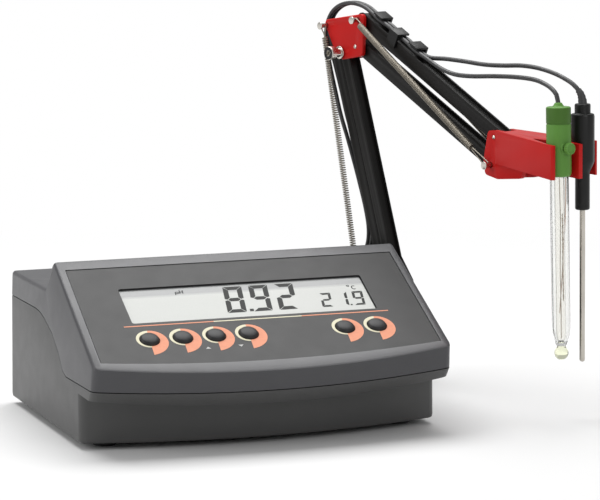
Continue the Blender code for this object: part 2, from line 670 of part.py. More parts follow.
def from_arm(point):
    """A point of the arm's space, in the case's space."""
    turn = Matrix.Rotation(ARM_TURN, 3, "Z")
    return tuple(turn @ Vector(point) + Vector((*PIN_AT, 0)))


def on_bar(distance, height, side):
    start = Vector(ELBOW_FRONT)
    along = (Vector(WRIST_TOP) - start).normalized()
    spot = start + along * distance + Vector((-along.y, along.x)) * height
    return (spot.x, side, spot.y)


def cables():
    """Each cable is a tube along the arm, a share of the coil, and a lead to its plug."""
    x, y = COIL_AT
    rise = COIL_HEIGHT + CABLE_R + GAP
    electrode_end = [(117, 121, 23), (108.5, 131, 18)]
    probe_end = [(130, 127, 23), (115, 134, 18)]
    for name, side, front, down, end, radius in (
        ("electrode_cable", -1.7, ELECTRODE_FRONT, ELECTRODE_DOWN, electrode_end, -1),
        ("probe_cable", 1.7, PROBE_FRONT, PROBE_DOWN, probe_end, 1),
    ):
        reach = x + COIL_MIDDLE + radius * COIL_STEP / 2
        route = front + [on_bar(d, h, side) for d, h in ON_BAR]
        route += [(a, side, c) for a, c in OVER_ELBOW] + down
        points = [from_arm(p) for p in route] + end
        points += [(reach + 0.8, y - 6, rise + 0.7), (reach, y + 2, rise)]
        cable(name, points, 70, "case")
    ring = [(COIL_MIDDLE - 3.2, 0), (COIL_MIDDLE + 3.2, 0)]
    ring += [(COIL_MIDDLE + 3.2, COIL_HEIGHT), (COIL_MIDDLE - 3.2, COIL_HEIGHT)]
    add("cable_coil", turned(ring, (x, y, 0), segments=32), "cable", "case")
    back = REAR_Y + 33.6
    lead = [(ELECTRODE_X, back, SOCKET_Z), (ELECTRODE_X - 0.2, back + 7, SOCKET_Z - 1.4)]
    lead += [(ELECTRODE_X - 0.8, back + 14, 39), (ELECTRODE_X - 1.4, back + 18, 29)]
    lead += [(ELECTRODE_X - 1.2, back + 19.4, 17), (ELECTRODE_X + 0.6, back + 19.4, 7)]
    lead += [(x - 19, y + 17.8, 2.3)]
    cable("electrode_lead", lead, 20, "case")
    back = REAR_Y + 31.6
    lead = [(TEMPERATURE_X, back, SOCKET_Z), (TEMPERATURE_X + 0.2, back + 7, SOCKET_Z - 1.2)]
    lead += [(TEMPERATURE_X + 1, back + 15, 40), (TEMPERATURE_X + 3, back + 20.5, 28)]
    lead += [(TEMPERATURE_X + 7, back + 23.6, 14), (TEMPERATURE_X + 14.5, back + 25, 4.8)]
    lead += [(TEMPERATURE_X + 24, back + 25, 2), (x - 13, y + 21.2, 1.9)]
    cable("probe_lead", lead, 24, "case")


def main():
    for old in list(bpy.data.objects):
        bpy.data.objects.remove(old, do_unlink=True)
    frame_at[None] = Vector((0, 0, 0))
    frame("case", place=(*CASE_AT, 0))
    frame("panel", "case", place=(0, *PANEL_TOP), turn=(PANEL_TILT, 0, 0))
    frame("arm", "case", place=(*PIN_AT, 0), turn=(0, 0, ARM_TURN))
    frame("swivel", "arm")
    frame("lower_rear", "swivel", (BASE_REAR[0], 0, BASE_REAR[1]))
    frame("lower_front", "swivel", (BASE_FRONT[0], 0, BASE_FRONT[1]))
    frame("lower_springs", "swivel", (BASE_SPRING[0], 0, BASE_SPRING[1]))
    frame("elbow", "lower_rear", (ELBOW_REAR[0], 0, ELBOW_REAR[1]))
    frame("upper_top", "elbow", (ELBOW_FRONT[0], 0, ELBOW_FRONT[1]))
    frame("upper_bottom", "elbow", (ELBOW_RIVET[0], 0, ELBOW_RIVET[1]))
    frame("wrist", "upper_top", (WRIST_TOP[0], 0, WRIST_TOP[1]))
    frame("electrode", "wrist", (HOLD_X, -HOLD_SIDE, 172), turn=(0, ELECTRODE_LEAN, 0))
    frame("probe", "wrist", (HOLD_X, HOLD_SIDE, 172))
    housing()
    panel()
    rear_sockets()
    feet()
    arm_mount()
    swivel_base()
    pin("base_front_pin", BASE_FRONT, CHEEK_OUT + 1.45, "swivel")
    pin("base_rear_pin", BASE_REAR, CHEEK_OUT + 1.45, "swivel")
    pin("base_spring_pin", BASE_SPRING, 14.3, "swivel")
    bar("lower_rear_bar", BASE_REAR, ELBOW_REAR, LOWER_DEPTH, "lower_rear", 1)
    bar("lower_front_bar", BASE_FRONT, ELBOW_KNOB, LOWER_DEPTH, "lower_front", -1)
    elbow()
    bar("upper_top_bar", ELBOW_FRONT, WRIST_TOP, UPPER_DEPTH, "upper_top", 1)
    bar("upper_bottom_bar", ELBOW_RIVET, WRIST_LOW, UPPER_DEPTH, "upper_bottom", 1)
    for name, side in SIDES.items():
        spring(f"lower_spring_{name}", BASE_SPRING, ELBOW_REAR, side, "lower_springs")
        spring(f"upper_spring_{name}", ELBOW_FRONT, WRIST_LOW, side, "upper_top")
    clips()
    holder()
    pin("wrist_upper_pin", WRIST_TOP, CHEEK_OUT + 1.9, "wrist")
    pin("wrist_lower_pin", WRIST_LOW, 14.3, "wrist")
    electrode()
    probe()
    cables()


main()
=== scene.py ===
"""Looks for the pH meter: camera, cables, springs, electrode, display, keys, materials and light.

Lengths are in millimetres, each in one of six spaces: matrices that end in metres in the
frame's own axes. CASE has the housing's middle on the table, with the front at -Y. PANEL lies
in the sloping front, with Y up the slope and Z out of it. ARM stands on the swivel pin, with X
along the arm. ELECTRODE, PROBE and REFILL have the piece's own axis at X = Y = 0.
"""

import math

import bmesh
import bpy
from mathutils import Matrix, Vector


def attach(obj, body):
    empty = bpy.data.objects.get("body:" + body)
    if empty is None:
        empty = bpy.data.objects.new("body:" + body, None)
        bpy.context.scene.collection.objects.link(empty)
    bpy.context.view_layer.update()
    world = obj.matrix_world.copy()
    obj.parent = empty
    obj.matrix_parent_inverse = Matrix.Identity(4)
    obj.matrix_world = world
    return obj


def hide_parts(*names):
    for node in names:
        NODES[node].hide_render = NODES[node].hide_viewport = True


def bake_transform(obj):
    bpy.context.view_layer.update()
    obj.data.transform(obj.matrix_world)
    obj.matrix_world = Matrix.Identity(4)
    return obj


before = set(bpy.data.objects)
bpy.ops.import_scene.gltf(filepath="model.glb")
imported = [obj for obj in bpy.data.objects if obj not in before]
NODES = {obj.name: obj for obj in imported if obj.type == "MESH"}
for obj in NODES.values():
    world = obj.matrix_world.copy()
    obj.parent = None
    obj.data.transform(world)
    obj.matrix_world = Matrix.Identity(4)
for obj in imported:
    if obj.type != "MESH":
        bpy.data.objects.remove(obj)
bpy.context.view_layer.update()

MM = 0.001

# Places that part.py sets
CASE_AT = (-54.19, -17.2)
PIN_AT = (143.26, 87.52)
ARM_TURN = math.radians(-70)
REAR_Y = 111.0
PANEL_TOP = (1.2, 109.0)
PANEL_TILT = math.radians(27.5)
BASE_SPRING = (-19.0, 72.0)
ELBOW_KNOB = (-38.6, 226.2)
ELBOW_REAR = (-53.6, 244.2)
ELBOW_RIVET = (-22.8, 231.0)
ELBOW_FRONT = (-19.6, 249.4)
WRIST_TOP = (117.5, 178.6)
WRIST_LOW = (114.3, 160.2)
HOLD_X, HOLD_SIDE, HOLD_Z = 181.5, 10.4, 172.0
ELECTRODE_LEAN = math.radians(-1.1)
REFILL_FACING = (1.0, -0.08, 0.0)
REFILL_Z = 176.6
SPRING_SIDE, SPRING_R, WIRE_R = 10.8, 2.3, 0.4
SIDES = {"left": -1, "right": 1}
KEY_DOWN = 87.6
KEY_X = (-74.6, -53.2, -31.8, -10.4, 53.5, 74.9)
SOCKET_Z = 46.0
ELECTRODE_X, TEMPERATURE_X, POWER_X = 62.0, 34.0, -70.0
CABLE_R, CABLE_SIDES = 1.5, 10
DISPLAY_H = -1.5

# Heights of what is drawn on the panel and on the display
FILM_LOW, FILM_HIGH = -0.35, -0.28
SEGMENT_HIGH = DISPLAY_H + 0.06
MARK_H = DISPLAY_H + 0.01

# The printed line under the display, and the swirl round each key
LINE_HALF, LINE_LOW, LINE_HIGH = 87.3, -73.4, -72.5
LINE_PARTS = 24
CREAM_SHARE = 0.36
SWIRL_INNER = 6.6
SWIRL_START = -94
MARK_DOWN, MARK_HALF = 99.6, 1.7

CASE = Matrix.Scale(MM, 4) @ Matrix.Translation((*CASE_AT, 0))
PANEL = CASE @ Matrix.Translation((0, *PANEL_TOP)) @ Matrix.Rotation(PANEL_TILT, 4, "X")
ARM = CASE @ Matrix.Translation((*PIN_AT, 0)) @ Matrix.Rotation(ARM_TURN, 4, "Z")
HELD = Matrix.Translation((HOLD_X, -HOLD_SIDE, HOLD_Z))
HELD = HELD @ Matrix.Rotation(ELECTRODE_LEAN, 4, "Y") @ Matrix.Translation((0, 0, -HOLD_Z))
ELECTRODE = ARM @ HELD
PROBE = ARM @ Matrix.Translation((HOLD_X, HOLD_SIDE, 0))
REFILL = ELECTRODE @ Matrix.Translation((0, 0, REFILL_Z))
REFILL = REFILL @ Vector((0, 0, 1)).rotation_difference(
    Vector(REFILL_FACING)).to_matrix().to_4x4()


# ---------------------------------------------------------------- camera


def camera():
    """The photograph's viewing angle: a long lens, low and from the front left."""
    turn, pitch, roll = math.radians(-18.87), math.radians(7.76), math.radians(-0.6)
    back = Vector((math.sin(turn) * math.cos(pitch), -math.cos(turn) * math.cos(pitch),
                   math.sin(pitch)))
    side = Vector((math.cos(turn), math.sin(turn), 0))
    up = back.cross(side)
    right = side * math.cos(roll) + up * math.sin(roll)
    top = up * math.cos(roll) - side * math.sin(roll)
    data = bpy.data.cameras.new("camera")
    data.lens = 188.64
    data.sensor_width = 36
    obj = bpy.data.objects.new("camera", data)
    bpy.context.scene.collection.objects.link(obj)
    place = Matrix((right, top, back)).transposed().to_4x4()
    place.translation = CASE @ Vector((-605.7, -1918.8, 384.2))
    obj.matrix_world = place
    bpy.context.scene.camera = obj


# ---------------------------------------------------------------- materials


class Shade:
    """A Principled material and the few node helpers that every finish here is made of."""

    def __init__(self, name, color, roughness, metallic=0.0):
        self.material = bpy.data.materials.new(name)
        self.material.use_nodes = True
        self.tree = self.material.node_tree
        self.shader = self.tree.nodes["Principled BSDF"]
        self.set("Base Color", (*color, 1))
        self.set("Roughness", roughness)
        self.set("Metallic", metallic)
        self.color = color
        self.roughness = roughness
        self.where = self.tree.nodes.new("ShaderNodeTexCoord").outputs["Object"]
        self.normal = None

    def set(self, socket, value):
        self.shader.inputs[socket].default_value = value

    def link(self, output, socket):
        self.tree.links.new(output, self.shader.inputs[socket])

    def stretched(self, scale):
        """Object coordinates, stretched per axis."""
        node = self.tree.nodes.new("ShaderNodeMapping")
        node.inputs["Scale"].default_value = scale
        self.tree.links.new(self.where, node.inputs["Vector"])
        return node.outputs["Vector"]

    def noise(self, scale, detail=3.0, stretch=None):
        node = self.tree.nodes.new("ShaderNodeTexNoise")
        node.inputs["Scale"].default_value = scale
        node.inputs["Detail"].default_value = detail
        place = self.stretched(stretch) if stretch else self.where
        self.tree.links.new(place, node.inputs["Vector"])
        return node.outputs["Fac"]

    def spread(self, value, low, high, start=0.3, end=0.7):
        """A value between start and end, spread from low to high."""
        node = self.tree.nodes.new("ShaderNodeMapRange")
        node.inputs["From Min"].default_value = start
        node.inputs["From Max"].default_value = end
        node.inputs["To Min"].default_value = low
        node.inputs["To Max"].default_value = high
        self.tree.links.new(value, node.inputs["Value"])
        return node.outputs["Result"]

    def mix(self, value, first, second):
        """A colour between two colours, or between a colour socket and a colour."""
        node = self.tree.nodes.new("ShaderNodeMix")
        node.data_type = "RGBA"
        self.tree.links.new(value, node.inputs["Factor"])
        for socket, entry in (("A", first), ("B", second)):
            target = [i for i in node.inputs if i.name == socket and i.type == "RGBA"][0]
            if isinstance(entry, (tuple, list)):
                target.default_value = (*entry[:3], 1)
            else:
                self.tree.links.new(entry, target)
        return [o for o in node.outputs if o.type == "RGBA"][0]

    def vary(self, scale, amount):
        """Slightly lighter and darker patches."""
        low = [c * (1 - amount) for c in self.color]
        high = [min(1, c * (1 + amount)) for c in self.color]
        self.link(self.mix(self.spread(self.noise(scale), 0, 1), low, high), "Base Color")

    def worn(self, scale, amount, stretch=None):
        """Roughness that changes over the surface, as handling leaves it."""
        low, high = self.roughness - amount, self.roughness + amount
        self.link(self.spread(self.noise(scale, 4.0, stretch), low, high), "Roughness")

    def bump(self, height, strength, depth):
        """Adds a height field; several can follow each other."""
        node = self.tree.nodes.new("ShaderNodeBump")
        node.inputs["Strength"].default_value = strength
        node.inputs["Distance"].default_value = depth
        self.tree.links.new(height, node.inputs["Height"])
        if self.normal:
            self.tree.links.new(self.normal, node.inputs["Normal"])
        self.normal = node.outputs["Normal"]
        self.link(self.normal, "Normal")


def moulded(name, color, roughness, grain=0.12, variation=0.03, gloss=0.5):
    """Injection-moulded plastic with a fine spark-eroded grain."""
    shade = Shade(name, color, roughness)
    shade.set("Specular IOR Level", gloss)
    shade.vary(60, variation)
    shade.worn(95, 0.02)
    shade.bump(shade.noise(2600, 2.0), grain, 0.00018)
    shade.bump(shade.noise(240, 2.0), grain * 0.4, 0.0002)
    return shade


def glossy(name, color, roughness):
    """Smooth plastic with a soft shine and faint flow marks."""
    shade = Shade(name, color, roughness)
    shade.set("Specular IOR Level", 0.15)
    shade.vary(45, 0.04)
    shade.worn(130, 0.03)
    shade.bump(shade.noise(420, 2.0), 0.05, 0.0002)
    return shade


def metal(name, color, roughness, stretch=(1, 1, 1)):
    """Metal with fine drawing lines along the axis with the smallest scale."""
    shade = Shade(name, color, roughness, 1.0)
    shade.vary(70, 0.07)
    shade.worn(900, 0.07, stretch)
    shade.bump(shade.noise(1500, 2.0, stretch), 0.1, 0.00012)
    return shade


def printed(name, color):
    """A screen-printed ink film."""
    shade = Shade(name, color, 0.5)
    shade.set("Specular IOR Level", 0.15)
    shade.vary(420, 0.04)
    shade.bump(shade.noise(3200, 2.0), 0.08, 0.0001)
    return shade


def jacket(name, color):
    """A cable's extruded jacket, slightly dusty."""
    shade = Shade(name, color, 0.42)
    shade.vary(160, 0.22)
    shade.worn(240, 0.08)
    shade.bump(shade.noise(900, 3.0), 0.14, 0.0002)
    return shade


def clear(name, color, ripple, ior):
    """Glass, with a faint unevenness."""
    shade = Shade(name, color, 0.02)
    shade.set("Transmission Weight", 1.0)
    shade.set("IOR", ior)
    shade.worn(140, 0.015)
    shade.bump(shade.noise(70, 2.0), ripple, 0.0002)
    return shade


def paints():
    """Every finish, by name."""
    made = {
        "housing": moulded("housing plastic", (0.047, 0.047, 0.051), 0.4, 0.16, 0.03, 0.44),
        "tub": moulded("tub plastic", (0.049, 0.049, 0.0485), 0.44, 0.18),
        "overlay": moulded("overlay film", (0.018, 0.018, 0.018), 0.5, 0.1, 0.02, 0.3),
        "rubber": moulded("key rubber", (0.016, 0.016, 0.017), 0.5, 0.1, 0.08, 0.3),
        "foot": moulded("foot rubber", (0.02, 0.02, 0.02), 0.7, 0.25, 0.15),
        "black": moulded("black plastic", (0.008, 0.008, 0.008), 0.34, 0.1, 0.12, 0.25),
        "bar": moulded("bar plastic", (0.0065, 0.006, 0.0055), 0.34, 0.12, 0.15, 0.18),
        "red": glossy("red plastic", (0.44, 0.008, 0.007), 0.34),
        "green": glossy("green plastic", (0.095, 0.225, 0.045), 0.38),
        "nickel": metal("nickel", (0.62, 0.59, 0.54), 0.24),
        "steel": metal("drawn steel", (0.52, 0.49, 0.44), 0.26, (1, 1, 0.03)),
        "spring": metal("spring wire", (0.27, 0.245, 0.205), 0.42),
        "zinc": metal("plated steel", (0.55, 0.55, 0.55), 0.36),
        "cream": printed("cream ink", (0.60, 0.57, 0.42)),
        "salmon": printed("salmon ink", (0.62, 0.25, 0.15)),
        "ink": printed("white ink", (0.42, 0.42, 0.41)),
        "segment": printed("display segment", (0.014, 0.015, 0.014)),
        "board": moulded("board", (0.02, 0.14, 0.05), 0.4, 0.05),
        "jacket": jacket("cable jacket", (0.022, 0.022, 0.023)),
        "boot": moulded("boot rubber", (0.026, 0.026, 0.027), 0.5, 0.12),
        "glass": clear("electrode glass", (0.965, 0.97, 0.957), 0.03, 1.45),
        "inner_glass": clear("inner glass", (0.95, 0.94, 0.92), 0.03, 1.2),
        "bulb": clear("bulb glass", (0.95, 0.97, 0.74), 0.06, 1.3),
        "silver": metal("silver wire", (0.50, 0.44, 0.37), 0.4),
        "copper": metal("copper lead", (0.60, 0.36, 0.24), 0.35),
    }
    made["green"].link(green_ring(made["green"]), "Base Color")
    made["display"] = display_paint()
    return {name: shade.material for name, shade in made.items()}


def green_ring(shade):
    """The cap's top ring is moulded in a darker green than its body."""
    split = shade.tree.nodes.new("ShaderNodeSeparateXYZ")
    shade.tree.links.new(shade.where, split.inputs[0])
    above = shade.spread(split.outputs["Z"], 0, 1, 0.1918, 0.1922)
    below_top = shade.spread(split.outputs["Z"], 1, 0, 0.2022, 0.2026)
    both = shade.tree.nodes.new("ShaderNodeMath")
    both.operation = "MULTIPLY"
    shade.tree.links.new(above, both.inputs[0])
    shade.tree.links.new(below_top, both.inputs[1])
    patches = shade.spread(shade.noise(60), 0, 1)
    body = shade.mix(patches, (0.088, 0.212, 0.038), (0.100, 0.238, 0.046))
    return shade.mix(both.outputs[0], body, (0.055, 0.13, 0.022))


def display_paint():
    """A reflective liquid crystal, with a painted shadow under the window's top edge."""
    shade = Shade("display reflector", (0.34, 0.35, 0.33), 0.34)
    split = shade.tree.nodes.new("ShaderNodeSeparateXYZ")
    shade.tree.links.new(shade.where, split.inputs[0])
    top = (PANEL @ Vector((0, -33, DISPLAY_H))).z
    # Painted shadow: a soft band at the display's top is darkened where the window's edge would
    # shade it.
    soft = shade.spread(split.outputs["Z"], 0, 1, top - 0.0046, top - 0.0032)
    fleck = shade.spread(shade.noise(1500, 2.0), 0, 1)
    field = shade.mix(fleck, (0.256, 0.265, 0.246), (0.270, 0.279, 0.260))
    # Mixes the painted shadow's dark grey over the top band of the display.
    shade.link(shade.mix(soft, field, (0.124, 0.129, 0.128)), "Base Color")
    shade.bump(shade.noise(2600, 2.0), 0.04, 0.0001)
    shade.set("Coat Weight", 0.25)
    shade.set("Coat Roughness", 0.12)
    return shade


# ---------------------------------------------------------------- pieces


def piece(name, bm, space, material, body, sharp=35):
    """A piece from a mesh in one of the spaces; it rides on a body."""
    bmesh.ops.recalc_face_normals(bm, faces=bm.faces)
    bmesh.ops.transform(bm, matrix=space, verts=bm.verts)
    mesh = bpy.data.meshes.new(name)
    bm.to_mesh(mesh)
    bm.free()
    mesh.shade_smooth()
    mesh.set_sharp_from_angle(angle=math.radians(sharp))
    mesh.materials.append(PAINT[material])
    obj = bpy.data.objects.new(name, mesh)
    bpy.context.scene.collection.objects.link(obj)
    if body:
        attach(obj, body)
    return obj


def turned(profile, segments=48, ripple=None):
    """A lathe shape about Z from (radius, height) points; ripple(angle, height) adds radius."""
    bm = bmesh.new()
    rows = []
    for radius, height in profile:
        row = []
        for k in range(segments if radius else 1):
            a = 2 * math.pi * k / segments
            r = radius + (ripple(a, height) if ripple and radius else 0)
            row.append(bm.verts.new((r * math.cos(a), r * math.sin(a), height)))
        rows.append(row)
    pairs = list(zip(rows, rows[1:]))
    if profile[0][0] and profile[-1][0]:
        pairs.append((rows[-1], rows[0]))
    for row, after in pairs:
        for k in range(segments):
            j = (k + 1) % segments
            if len(row) == 1:
                bm.faces.new((row[0], after[j], after[k]))
            elif len(after) == 1:
                bm.faces.new((row[k], row[j], after[0]))
            else:
                bm.faces.new((row[k], row[j], after[j], after[k]))
    return bm


def rounded_profile(points, radius, steps=3):
    """The corners of a lathe profile turned into small arcs; the ends stay."""
    out = [points[0]]
    for before, here, after in zip(points, points[1:], points[2:]):
        h = Vector(here)
        a, b = Vector(before) - h, Vector(after) - h
        if a.length < 1e-6 or b.length < 1e-6 or a.angle(b) > math.radians(165):
            out.append(here)
            continue
        reach = min(radius, a.length * 0.45, b.length * 0.45)
        p, q = h + a.normalized() * reach, h + b.normalized() * reach
        for k in range(steps + 1):
            t = k / steps
            out.append(tuple((1 - t) ** 2 * p + 2 * t * (1 - t) * h + t * t * q))
    out.append(points[-1])
    return out


def slab(outline, low, high):
    """A flat shape between two heights."""
    bm = bmesh.new()
    rows = [[bm.verts.new((x, y, z)) for x, y in outline] for z in (low, high)]
    count = len(outline)
    for k in range(count):
        j = (k + 1) % count
        bm.faces.new((rows[0][k], rows[0][j], rows[1][j], rows[1][k]))
    bm.faces.new(rows[0])
    bm.faces.new(rows[1])
    return bm


def smooth(points, count):
    """Points at even distances on a Catmull-Rom curve through the given ones."""
    knots = [Vector(p) for p in points]
    knots = [knots[0] * 2 - knots[1], *knots, knots[-1] * 2 - knots[-2]]
    fine = []
    for p0, p1, p2, p3 in zip(knots, knots[1:], knots[2:], knots[3:]):
        for k in range(16):
            t = k / 16
            fine.append(0.5 * (2 * p1 + (p2 - p0) * t + (2 * p0 - 5 * p1 + 4 * p2 - p3) * t * t
                               + (3 * p1 - p0 - 3 * p2 + p3) * t ** 3))
    fine.append(knots[-2])
    along = [0.0]
    for a, b in zip(fine, fine[1:]):
        along.append(along[-1] + (b - a).length)
    picked = []
    i = 0
    for k in range(count):
        want = along[-1] * k / (count - 1)
        while i < len(along) - 2 and along[i + 1] < want:
            i += 1
        share = (want - along[i]) / (along[i + 1] - along[i])
        picked.append(fine[i].lerp(fine[i + 1], min(1.0, share)))
    return picked


def rings(points, radius, sides):
    """Circles along a route that don't twist against each other."""
    out = []
    side = None
    for k, here in enumerate(points):
        ahead = (points[min(k + 1, len(points) - 1)] - points[max(k - 1, 0)]).normalized()
        if side is None:
            side = ahead.orthogonal().normalized()
        side = (side - ahead * side.dot(ahead)).normalized()
        up = ahead.cross(side)
        r = radius(k / (len(points) - 1)) if callable(radius) else radius
        out.append([here + (side * math.cos(a) + up * math.sin(a)) * r
                    for a in (2 * math.pi * i / sides for i in range(sides))])
    return out


def tube(circles):
    """A closed tube through circles of points."""
    bm = bmesh.new()
    rows = [[bm.verts.new(p) for p in circle] for circle in circles]
    sides = len(rows[0])
    for row, after in zip(rows, rows[1:]):
        for k in range(sides):
            j = (k + 1) % sides
            bm.faces.new((row[k], row[j], after[j], after[k]))
    bm.faces.new(list(reversed(rows[0])))
    bm.faces.new(rows[-1])
    return bm


# ---------------------------------------------------------------- cables

# Routes in the arm's space, as part.py has them.
ELECTRODE_FRONT = [
    (180.85, -10.4, 204.9), (180.2, -10.4, 207.2), (178.6, -10.0, 210.4), (174.0, -9.4, 213.6),
    (167.0, -8.6, 216.2), (156.0, -7.7, 218.4), (138.0, -6.6, 219.0), (116.0, -5.6, 218.3),
    (92.0, -4.5, 216.9), (74.0, -3.6, 217.2), (59.0, -2.6, 220.3),
]
PROBE_FRONT = [
    (181.5, 10.4, 203.2), (181.3, 10.4, 205.6), (179.8, 10.1, 210.0), (175.6, 9.6, 214.2),
    (169.6, 9.0, 217.6), (158.0, 8.1, 221.6), (143.0, 7.2, 224.4), (128.0, 6.4, 225.2),
    (112.0, 5.5, 224.4), (95.0, 4.6, 224.2), (76.0, 3.6, 225.4), (59.0, 2.6, 226.2),
]
ON_BAR = [(66.0, 8.3), (53.5, 7.2), (44.0, 8.0), (34.8, 7.3), (24.0, 8.2), (12.8, 7.0)]
OVER_ELBOW = [(-12.6, 254.5), (-22.0, 258.6), (-34.0, 260.2), (-46.0, 258.2), (-55.6, 252.4)]
OVER_ELBOW += [(-61.0, 243.0), (-61.6, 231.0)]
ELECTRODE_DOWN = [
    (-57.0, -2.1, 215.0), (-51.6, -2.0, 198.0), (-46.0, -2.0, 182.0), (-39.2, -1.6, 166.0),
    (-33.2, -0.9, 150.0), (-27.6, -0.3, 134.0), (-22.4, 0.1, 118.0), (-19.4, 0.0, 104.0),
    (-20.8, -0.8, 92.0), (-27.6, -3.4, 80.0), (-33.6, -7.0, 60.0), (-37.0, -9.0, 38.0),
]
PROBE_DOWN = [
    (-56.2, 2.1, 215.0), (-50.0, 2.2, 198.0), (-44.8, 2.4, 182.0), (-38.8, 2.8, 166.0),
    (-33.4, 3.2, 150.0), (-28.0, 3.6, 134.0), (-22.8, 4.0, 118.0), (-20.0, 4.0, 104.0),
    (-22.0, 4.0, 92.0), (-28.4, 4.6, 80.0), (-33.6, 6.0, 60.0), (-36.0, 7.0, 38.0),
]
ELECTRODE_END = [(117, 121, 23), (108.5, 131, 18)]
PROBE_END = [(130, 127, 23), (115, 134, 18)]
COIL_AT = (86.0, 146.0)
COIL_MIDDLE, COIL_STEP, COIL_HEIGHT = 19.4, 3.3, 13.8
COIL_TURNS, POINTS_PER_TURN = 3.25, 26
# Where one stretch of cable hands over to the next: the two bodies that a stretch runs between
# (it then rides on neither) or the one it rides on, and the share of the arm's route where it
# ends.
STRETCHES = [
    ("start", ("{end}", "wrist"), 0.088), ("front", ("wrist", "upper_top"), 0.245),
    ("clipped", ("upper_top",), 0.385), ("elbow", ("upper_top", "elbow"), 0.46),
    ("over", ("elbow", "lower_rear"), 0.545), ("down", ("lower_rear",), 0.745),
    ("base", ("lower_rear", "swivel"), 0.865), ("foot", ("swivel", "meter"), 1.0),
]
ROUTE_POINTS = 180


def on_bar(distance, height, side):
    start = Vector(ELBOW_FRONT)
    along = (Vector(WRIST_TOP) - start).normalized()
    spot = start + along * distance + Vector((-along.y, along.x)) * height
    return (spot.x, side, spot.y)


def coil_route(radius, lead):
    """Turns wound downwards from the top of the coil, then the lead to the plug."""
    x, y = COIL_AT
    top, low = COIL_HEIGHT - CABLE_R, CABLE_R + 0.05
    steps = int(COIL_TURNS * POINTS_PER_TURN)
    turns = []
    for k in range(steps + 1):
        a = 2 * math.pi * COIL_TURNS * k / steps
        z = top + (low - top) * k / steps
        turns.append(Vector((x + radius * math.cos(a), y + radius * math.sin(a), z)))
    return turns, [Vector(p) for p in lead]


def cable(name, side, front, down, end, radius, lead, held):
    """One instrument cable, cut where it passes from one moving body to the next."""
    x, y = COIL_AT
    reach = x + radius
    rise = COIL_HEIGHT + CABLE_R + 0.4
    route = front + [on_bar(d, h, side) for d, h in ON_BAR]
    route += [(a, side, c) for a, c in OVER_ELBOW] + down
    points = [ARM @ Vector(p) for p in route]
    points += [CASE @ Vector(p) for p in end]
    points += [CASE @ Vector((reach + 0.8, y - 6, rise + 0.7))]
    turns, tail = coil_route(radius, lead)
    points += [CASE @ turns[0]]
    path = smooth(points, ROUTE_POINTS)
    circles = rings(path, CABLE_R * MM, CABLE_SIDES)
    first = 0
    for label, bodies, share in STRETCHES:
        last = round(share * (ROUTE_POINTS - 1))
        part, cut = path[first:last + 1], circles[first:last + 1]
        bodies = [b.format(end=held) for b in bodies]
        bm = tube(cut)
        obj = piece(f"{name}_{label}", bm, Matrix.Identity(4), "jacket", None, 60)
        if len(bodies) == 2:
            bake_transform(obj)
        else:
            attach(obj, bodies[0])
        first = last
        if label == "start":
            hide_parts(f"{name}_cable")
    helix = [CASE @ p for p in turns]
    rest = smooth([helix[-2], helix[-1]] + [CASE @ p for p in tail], 40)[1:]
    whole = helix[:-1] + rest
    bm = tube(rings(whole, CABLE_R * MM, CABLE_SIDES))
    obj = piece(f"{name}_coil", bm, Matrix.Identity(4), "jacket", "meter", 60)
    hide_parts(f"{name}_lead", *(["cable_coil"] if name == "electrode" else []))


def cables():
    """The two instrument cables, from their caps to their plugs."""
    x, y = COIL_AT
    back = REAR_Y + 33.6
    lead = [(x - 9, y + 17.9, 1.55), (x - 19, y + 17.8, 2.3)]
    lead += [(ELECTRODE_X + 0.6, back + 19.4, 7), (ELECTRODE_X - 1.2, back + 19.4, 17)]
    lead += [(ELECTRODE_X - 1.4, back + 18, 29), (ELECTRODE_X - 0.8, back + 14, 39)]
    lead += [(ELECTRODE_X - 0.2, back + 7, SOCKET_Z - 1.4), (ELECTRODE_X, back - 0.4, SOCKET_Z)]
    cable("electrode", -1.7, ELECTRODE_FRONT, ELECTRODE_DOWN, ELECTRODE_END,
          COIL_MIDDLE - COIL_STEP / 2, lead, "electrode")
    back = REAR_Y + 31.6
    lead = [(x - 6, y + 21.2, 1.55), (x - 13, y + 21.2, 1.9), (TEMPERATURE_X + 24, back + 25, 2)]
    lead += [(TEMPERATURE_X + 14.5, back + 25, 4.8), (TEMPERATURE_X + 7, back + 23.6, 14)]
    lead += [(TEMPERATURE_X + 3, back + 20.5, 28), (TEMPERATURE_X + 1, back + 15, 40)]
    lead += [(TEMPERATURE_X + 0.2, back + 7, SOCKET_Z - 1.2)]
    lead += [(TEMPERATURE_X, back - 0.4, SOCKET_Z)]
    cable("probe", 1.7, PROBE_FRONT, PROBE_DOWN, PROBE_END,
          COIL_MIDDLE + COIL_STEP / 2, lead, "probe")
    ties()


def ties():
    """Two soft ties that hold the coil together."""
    x, y = COIL_AT
    for number, angle in enumerate((200, 305)):
        a = math.radians(angle)
        out = Vector((math.cos(a), math.sin(a), 0))
        across = Vector((-math.sin(a), math.cos(a), 0))
        middle = Vector((x, y, COIL_HEIGHT / 2)) + out * COIL_MIDDLE
        half = Vector((4.1, COIL_HEIGHT / 2 - 0.1))
        bm = bmesh.new()
        loops = []
        for k in range(32):
            t = 2 * math.pi * k / 32
            squarish = [math.copysign(abs(v) ** 0.45, v) for v in (math.cos(t), math.sin(t))]
            loop = []
            for grow, shift in ((0, -1.6), (0.35, -1.3), (0.35, 1.3), (0, 1.6)):
                spot = middle + out * squarish[0] * (half.x + grow * 0.2)
                spot += Vector((0, 0, squarish[1] * (half.y + grow * 0.2))) + across * shift
                loop.append(bm.verts.new(spot))
            loops.append(loop)
        for loop, after in zip(loops, loops[1:] + loops[:1]):
            for i in range(4):
                j = (i + 1) % 4
                bm.faces.new((loop[i], loop[j], after[j], after[i]))
        piece(f"coil_tie_{number + 1}", bm, CASE, "boot", "meter", 50)


# ---------------------------------------------------------------- springs


# How far from its pin the coil starts, and the points in each of its turns
COIL_START = 6.5
WIRE_POINTS = 10


